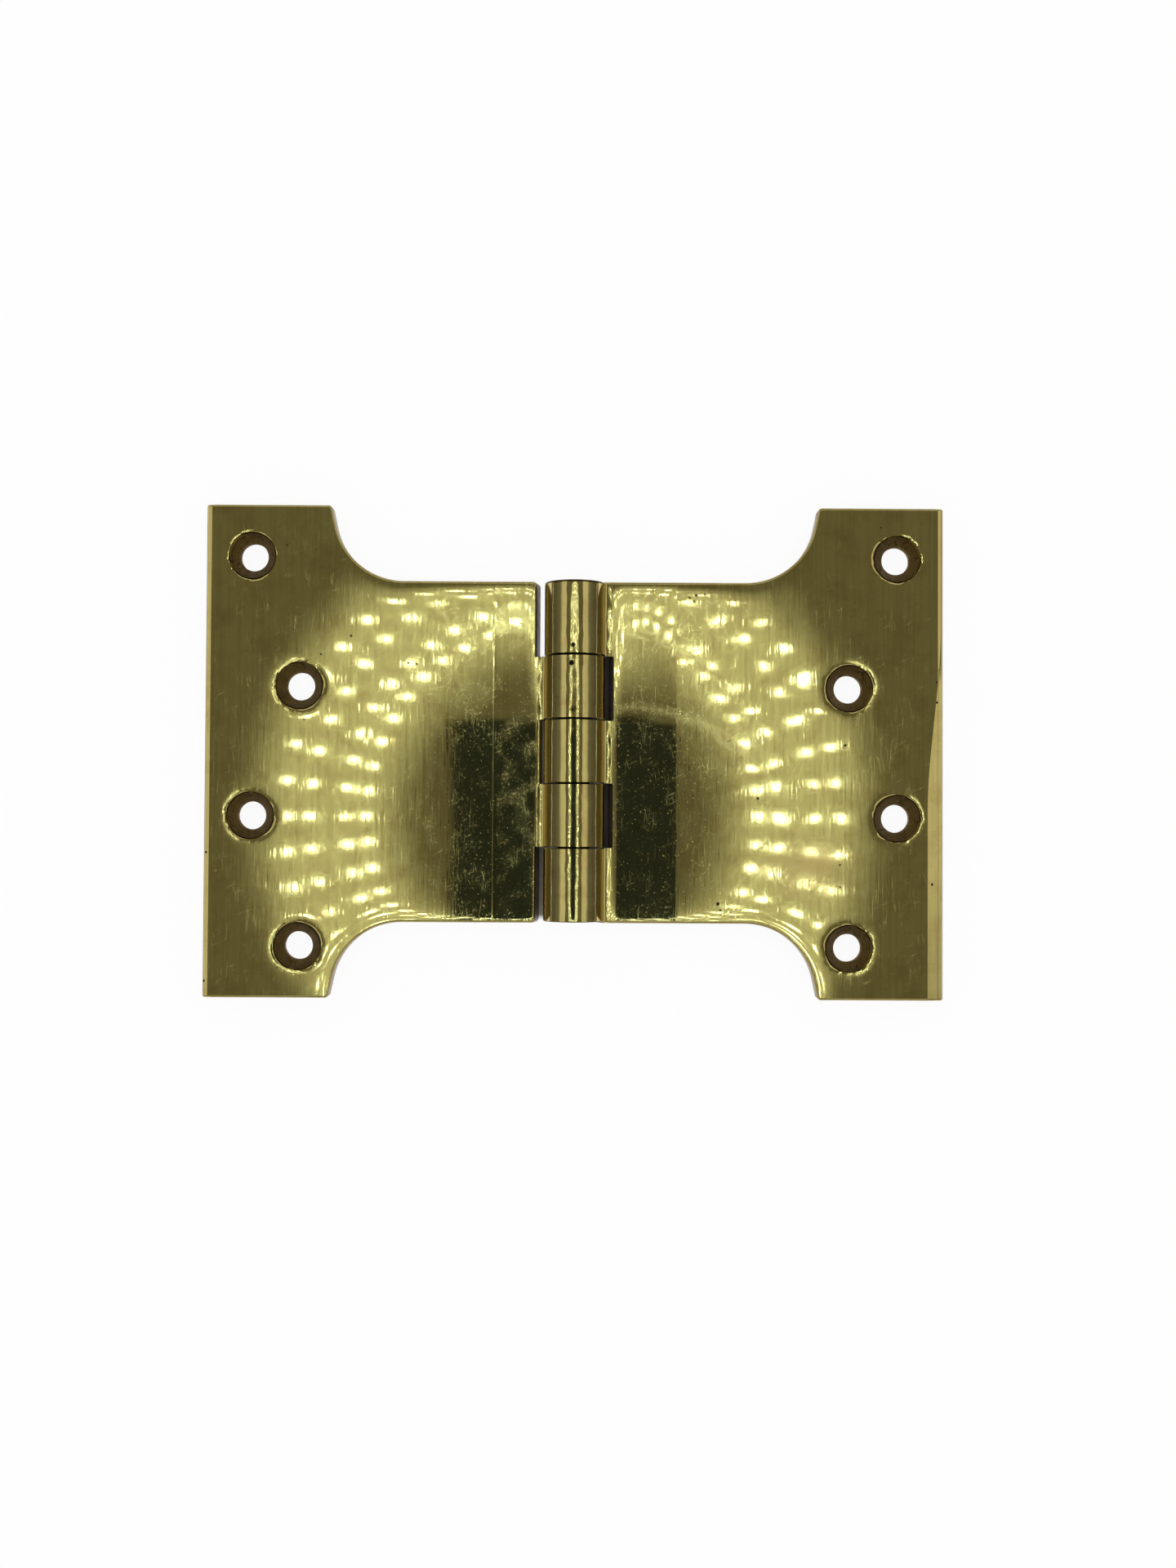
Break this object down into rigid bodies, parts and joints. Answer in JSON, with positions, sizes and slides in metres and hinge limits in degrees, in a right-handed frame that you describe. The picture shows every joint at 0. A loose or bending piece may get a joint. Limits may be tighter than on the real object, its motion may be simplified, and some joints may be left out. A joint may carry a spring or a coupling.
{
  "type": "parliament hinge",
  "caption": "Polished brass parliament hinge: broad-footed leaves with notched necks swing on a steel pin through interleaved knuckles; staggered countersunk screw holes.",
  "frame": {"origin": "middle of the pin axis, halfway between the ends of the feet", "axes": "+Y along the pin, towards its proud end; +X towards the outer edge of the three-knuckle leaf; +Z out of the countersunk faces, with the hinge open flat"},
  "size_m": [0.1524, 0.1016, 0.0124],
  "materials": {
    "polished_brass": "mirror polished by buffing, worn, with fine scratches, pits and fingerprints",
    "pin_steel": "turned and darkened"
  },
  "bodies": {
    "fixed_leaf": {"three_knuckle_leaf": "polished_brass", "hinge_pin": "pin_steel"},
    "swinging_leaf": {"two_knuckle_leaf": "polished_brass"}
  },
  "joints": [
    {"name": "leaf_swing", "type": "hinge", "parent": "fixed_leaf", "child": "swinging_leaf", "pos_m": [0, 0, 0], "axis": [0, 1, 0], "range_deg": [-107, 180]}
  ]
}
